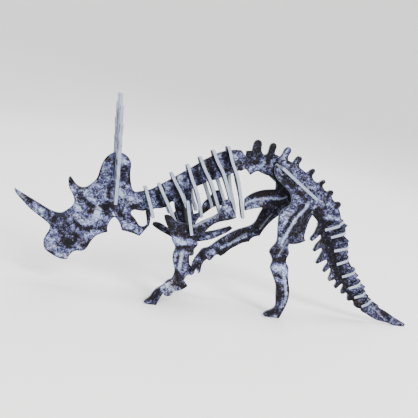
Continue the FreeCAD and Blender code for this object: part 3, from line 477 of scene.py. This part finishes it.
# ------------------------------------------------------------------ materials
class Nodes:
    """Short way to lay out a node tree."""

    def __init__(self, name):
        self.mat = bpy.data.materials.new(name)
        self.mat.use_nodes = True
        self.t = self.mat.node_tree
        self.t.nodes.clear()
        self.out = self.t.nodes.new("ShaderNodeOutputMaterial")
        self.bsdf = self.t.nodes.new("ShaderNodeBsdfPrincipled")
        self.link(self.bsdf.outputs[0], self.out.inputs[0])

    def link(self, a, b):
        self.t.links.new(a, b)

    def put(self, socket, value):
        if hasattr(value, "is_linked") or hasattr(value, "links"):
            self.link(value, socket)
        else:
            socket.default_value = value

    def attr(self, name, vector=False):
        n = self.t.nodes.new("ShaderNodeAttribute")
        n.attribute_name = name
        return n.outputs["Vector" if vector else "Fac"]

    def math(self, op, a, b=0.0, c=None, clamp=False):
        n = self.t.nodes.new("ShaderNodeMath")
        n.operation = op
        n.use_clamp = clamp
        self.put(n.inputs[0], a)
        self.put(n.inputs[1], b)
        if c is not None:
            self.put(n.inputs[2], c)
        return n.outputs[0]

    def scaled(self, vec, by):
        n = self.t.nodes.new("ShaderNodeVectorMath")
        n.operation = "MULTIPLY"
        self.put(n.inputs[0], vec)
        n.inputs[1].default_value = by
        return n.outputs[0]

    def moved(self, vec, by):
        n = self.t.nodes.new("ShaderNodeVectorMath")
        n.operation = "ADD"
        self.put(n.inputs[0], vec)
        self.put(n.inputs[1], by)
        return n.outputs[0]

    def xyz(self, x, y, z=0.0):
        n = self.t.nodes.new("ShaderNodeCombineXYZ")
        for s, q in zip(n.inputs, (x, y, z)):
            self.put(s, q)
        return n.outputs[0]

    def noise(self, vec, scale, detail=3.0, rough=0.55, distort=0.0, color=False):
        n = self.t.nodes.new("ShaderNodeTexNoise")
        self.put(n.inputs["Vector"], vec)
        n.inputs["Scale"].default_value = scale
        n.inputs["Detail"].default_value = detail
        n.inputs["Roughness"].default_value = rough
        n.inputs["Distortion"].default_value = distort
        return n.outputs["Color" if color else "Fac"]

    def cells(self, vec, scale, feature="F1", out="Distance"):
        n = self.t.nodes.new("ShaderNodeTexVoronoi")
        n.feature = feature
        self.put(n.inputs["Vector"], vec)
        n.inputs["Scale"].default_value = scale
        return n.outputs[out]

    def ramp(self, fac, stops, mode="LINEAR"):
        n = self.t.nodes.new("ShaderNodeValToRGB")
        self.put(n.inputs[0], fac)
        n.color_ramp.interpolation = mode
        el = n.color_ramp.elements
        while len(el) > 1:
            el.remove(el[-1])
        el[0].position = stops[0][0]
        el[0].color = (*stops[0][1], 1)
        for pos, col in stops[1:]:
            el.new(pos).color = (*col, 1)
        return n.outputs[0]

    def span(self, x, lo, hi, to_lo=0.0, to_hi=1.0, smooth=True):
        n = self.t.nodes.new("ShaderNodeMapRange")
        n.interpolation_type = "SMOOTHSTEP" if smooth else "LINEAR"
        self.put(n.inputs["Value"], x)
        for k, q in (("From Min", lo), ("From Max", hi), ("To Min", to_lo), ("To Max", to_hi)):
            n.inputs[k].default_value = q
        return n.outputs[0]

    def mix(self, fac, a, b, blend="MIX"):
        n = self.t.nodes.new("ShaderNodeMix")
        n.data_type = "RGBA"
        n.blend_type = blend
        self.put(n.inputs[0], fac)
        for s, q in ((n.inputs[6], a), (n.inputs[7], b)):
            if isinstance(q, tuple):
                s.default_value = (*q, 1)
            else:
                self.link(q, s)
        return n.outputs[2]

    def bump(self, height, distance, strength=1.0, normal=None):
        n = self.t.nodes.new("ShaderNodeBump")
        self.put(n.inputs["Height"], height)
        n.inputs["Distance"].default_value = distance
        n.inputs["Strength"].default_value = strength
        if normal is not None:
            self.link(normal, n.inputs["Normal"])
        return n.outputs[0]


def lin(r, g, b):
    """sRGB bytes to linear."""
    return tuple(((q / 255 + 0.055) / 1.055) ** 2.4 if q > 10 else q / 255 / 12.92 for q in (r, g, b))


def make_print():
    """Bone print: near-black to whitish lilac marbling, darker along the rims, on thin ply."""
    k = Nodes("bone_print")
    grain = k.attr("grain", True)
    tone, rim = k.attr("tone"), k.attr("rim")
    # marbling: clumps, wrinkles between them and a fine crackle
    warp = k.noise(grain, 0.30, 2.0, 0.5, color=True)
    warped = k.moved(grain, k.scaled(warp, (3.2, 3.2, 3.2)))
    clump = k.noise(warped, 0.34, 3.0, 0.62, 0.35)
    fine = k.noise(warped, 0.95, 3.0, 0.6, 0.6)
    speck = k.noise(grain, 2.6, 2.0, 0.6)
    vein = k.cells(warped, 0.42, "DISTANCE_TO_EDGE")
    crease = k.span(vein, 0.0, 0.16, 1.0, 0.0)
    value = k.math("MULTIPLY_ADD", clump, 1.5, -0.75)
    value = k.math("MULTIPLY_ADD", fine, 1.7, value)
    value = k.math("ADD", value, -0.85)
    value = k.math("MULTIPLY_ADD", speck, 1.05, value)
    value = k.math("ADD", value, -0.45)
    value = k.math("MULTIPLY_ADD", crease, -0.20, value)
    value = k.math("MULTIPLY_ADD", tone, 0.52, value)
    border = k.span(rim, 0.1, 1.15, -0.20, 0.0)
    value = k.math("ADD", value, border)
    value = k.math("ADD", value, 0.425)
    lilac = k.ramp(value, [(0.0, lin(17, 16, 18)), (0.14, lin(22, 20, 24)), (0.28, lin(35, 34, 44)),
                           (0.42, lin(54, 54, 78)), (0.56, lin(77, 79, 114)), (0.70, lin(100, 106, 145)),
                           (0.84, lin(126, 136, 168)), (1.0, lin(162, 174, 194))])
    warm = k.ramp(value, [(0.0, lin(18, 15, 15)), (0.14, lin(24, 20, 21)), (0.28, lin(40, 35, 38)),
                          (0.42, lin(60, 55, 65)), (0.56, lin(84, 81, 97)), (0.70, lin(108, 108, 128)),
                          (0.84, lin(136, 140, 160)), (1.0, lin(168, 176, 190))])
    hue = k.noise(k.moved(grain, (31.0, 7.0, 3.0)), 0.16, 2.0, 0.5)
    color = k.mix(k.span(hue, 0.53, 0.70), lilac, warm)
    # crisp pale streaks: printed highlights along the long bones, and one painted highlight along the near fore leg's
    # top rim
    streak = k.math("MULTIPLY", k.attr("streak"), k.span(fine, 0.30, 0.50, 0.55, 1.0), clamp=True)
    color = k.mix(k.math("MULTIPLY", streak, 0.74), color, lin(146, 154, 174))
    # scuffed rims show the pale board
    scuff = k.noise(grain, 1.4, 4.0, 0.7)
    worn = k.math("MULTIPLY", k.span(rim, 0.02, 0.22, 1.0, 0.0), k.span(scuff, 0.54, 0.64), clamp=True)
    color = k.mix(k.math("MULTIPLY", worn, 0.5), color, lin(160, 166, 176))
    k.link(color, k.bsdf.inputs["Base Color"])
    sheen = k.noise(grain, 0.5, 3.0, 0.6)
    rough = k.math("MULTIPLY_ADD", sheen, 0.22, 0.52)
    rough = k.math("MULTIPLY_ADD", worn, 0.2, rough)
    k.link(rough, k.bsdf.inputs["Roughness"])
    k.bsdf.inputs["Specular IOR Level"].default_value = 0.08
    # fibres of the face veneer under the ink, and the ink's own slight relief
    fibre = k.noise(k.scaled(grain, (0.16, 2.4, 0.5)), 1.0, 4.0, 0.65)
    pores = k.noise(k.scaled(grain, (0.5, 5.5, 1.0)), 1.0, 2.0, 0.6)
    height = k.math("MULTIPLY_ADD", fibre, 0.6, k.math("MULTIPLY", pores, 0.4))
    n1 = k.bump(height, 0.00006, 0.55)
    n2 = k.bump(value, 0.00003, 0.35, n1)
    k.link(n2, k.bsdf.inputs["Normal"])
    return k.mat


def make_cut():
    """Cut edge of thin three-ply board: pale, bluish, with glue lines and fine cutting marks, and painted shade
    darkening the long boards' edges.
    """
    k = Nodes("board_cut_edge")
    grain, ply, run = k.attr("grain", True), k.attr("ply"), k.attr("run")
    across = k.xyz(run, k.math("MULTIPLY", ply, 1.25))
    marks = k.noise(k.scaled(across, (3.2, 0.35, 1.0)), 1.0, 3.0, 0.6)
    layer = k.noise(k.scaled(across, (0.10, 5.0, 1.0)), 1.0, 3.0, 0.6)
    stain = k.noise(grain, 0.22, 3.0, 0.55)
    wobble = k.math("MULTIPLY_ADD", k.noise(k.scaled(across, (0.35, 0.1, 1.0)), 1.0, 2.0, 0.5), 0.14, -0.07)
    level = k.math("ABSOLUTE", k.math("ADD", ply, wobble))
    core = k.span(level, 0.30, 0.36, 1.0, 0.0)
    glue = k.math("MULTIPLY", k.span(level, 0.29, 0.34), k.span(level, 0.37, 0.43, 1.0, 0.0))
    ink = k.span(k.math("ABSOLUTE", ply), 0.86, 0.97)
    color = k.mix(k.span(stain, 0.36, 0.66), lin(178, 187, 203), lin(160, 170, 190))
    color = k.mix(k.math("MULTIPLY", core, 0.5), color, lin(158, 167, 184))
    color = k.mix(k.math("MULTIPLY", k.span(marks, 0.50, 0.68), 0.35), color, lin(138, 146, 164))
    color = k.mix(k.math("MULTIPLY", k.span(layer, 0.52, 0.70), 0.25), color, lin(196, 202, 212))
    color = k.mix(k.math("MULTIPLY", glue, 0.45), color, lin(116, 122, 140))
    color = k.mix(k.math("MULTIPLY", ink, 0.6), color, lin(64, 66, 88))
    # painted shade: the cut edges are darkened, fully on the long boards and a little on some cross boards, broken up
    # by noise
    blot = k.span(k.noise(grain, 0.30, 3.0, 0.6), 0.56, 0.72, 0.82, 0.25)
    color = k.mix(k.math("MULTIPLY", k.attr("edge_shade"), blot), color, lin(34, 34, 46))
    color = k.mix(0.30, color, lin(88, 97, 122))
    k.link(color, k.bsdf.inputs["Base Color"])
    k.link(k.math("MULTIPLY_ADD", marks, 0.15, 0.62), k.bsdf.inputs["Roughness"])
    k.bsdf.inputs["Specular IOR Level"].default_value = 0.3
    height = k.math("MULTIPLY_ADD", marks, 0.6, k.math("MULTIPLY", layer, 0.4))
    height = k.math("MULTIPLY_ADD", glue, -0.3, height)
    k.link(k.bump(height, 0.00007, 0.6), k.bsdf.inputs["Normal"])
    return k.mat


PRINT = make_print()
CUT = make_cut()
boards = [build_board(n) for n in sorted(frame["nodes"])]


# ------------------------------------------------------------------ studio
def make_studio():
    k = Nodes("studio_paper")
    k.bsdf.inputs["Base Color"].default_value = (*lin(243, 243, 242), 1)
    k.bsdf.inputs["Roughness"].default_value = 0.9
    k.bsdf.inputs["Specular IOR Level"].default_value = 0.1
    profile = [(0.0, 0.0), (0.15, 0.0), (0.4, 0.0), (0.8, 0.0), (1.2, 0.0)]
    profile += [(1.2 + 1.0 * math.sin(t), 1.0 - 1.0 * math.cos(t)) for t in np.linspace(0.1, math.pi / 2, 14)]
    profile += [(2.2, 1.6), (2.2, 2.4)]
    turns = 72
    vs, fs = [(0.0, 0.0, -0.00004)], []
    for r, z in profile[1:]:
        vs += [(r * math.cos(2 * math.pi * i / turns), r * math.sin(2 * math.pi * i / turns), z - 0.00004)
               for i in range(turns)]
    fs += [(0, 1 + i, 1 + (i + 1) % turns) for i in range(turns)]
    for j in range(len(profile) - 2):
        o = 1 + j * turns
        fs += [(o + i, o + turns + i, o + turns + (i + 1) % turns, o + (i + 1) % turns) for i in range(turns)]
    me = bpy.data.meshes.new("studio_floor")
    me.from_pydata(vs, [], fs)
    me.polygons.foreach_set("use_smooth", [True] * len(me.polygons))
    me.materials.append(k.mat)
    floor = bpy.data.objects.new("studio_floor", me)
    bpy.context.scene.collection.objects.link(floor)


def lamp(name, at, size, power, tint=(1, 1, 1), aim=(0, 0, 0.06)):
    data = bpy.data.lights.new(name, "AREA")
    data.shape = "DISK"
    data.size = size
    data.energy = power
    data.color = tint
    ob = bpy.data.objects.new(name, data)
    ob.location = at
    ob.rotation_euler = (Vector(aim) - Vector(at)).to_track_quat("-Z", "Y").to_euler()
    bpy.context.scene.collection.objects.link(ob)


make_studio()
lamp("key_lamp", (0.45, -1.1, 1.0), 0.55, 29.0, (1.0, 0.99, 0.97))
lamp("front_lamp", (-0.55, -1.2, 0.5), 0.9, 7.0, (0.97, 0.985, 1.0))
lamp("top_lamp", (0.15, 0.15, 1.35), 0.8, 18.0)
lamp("back_lamp", (0.35, 1.1, 0.8), 0.8, 8.0)
world = bpy.data.worlds.new("studio_world")
bpy.context.scene.world = world
world.use_nodes = True
world.node_tree.nodes["Background"].inputs["Color"].default_value = (0.95, 0.97, 1.0, 1)
world.node_tree.nodes["Background"].inputs["Strength"].default_value = 0.8
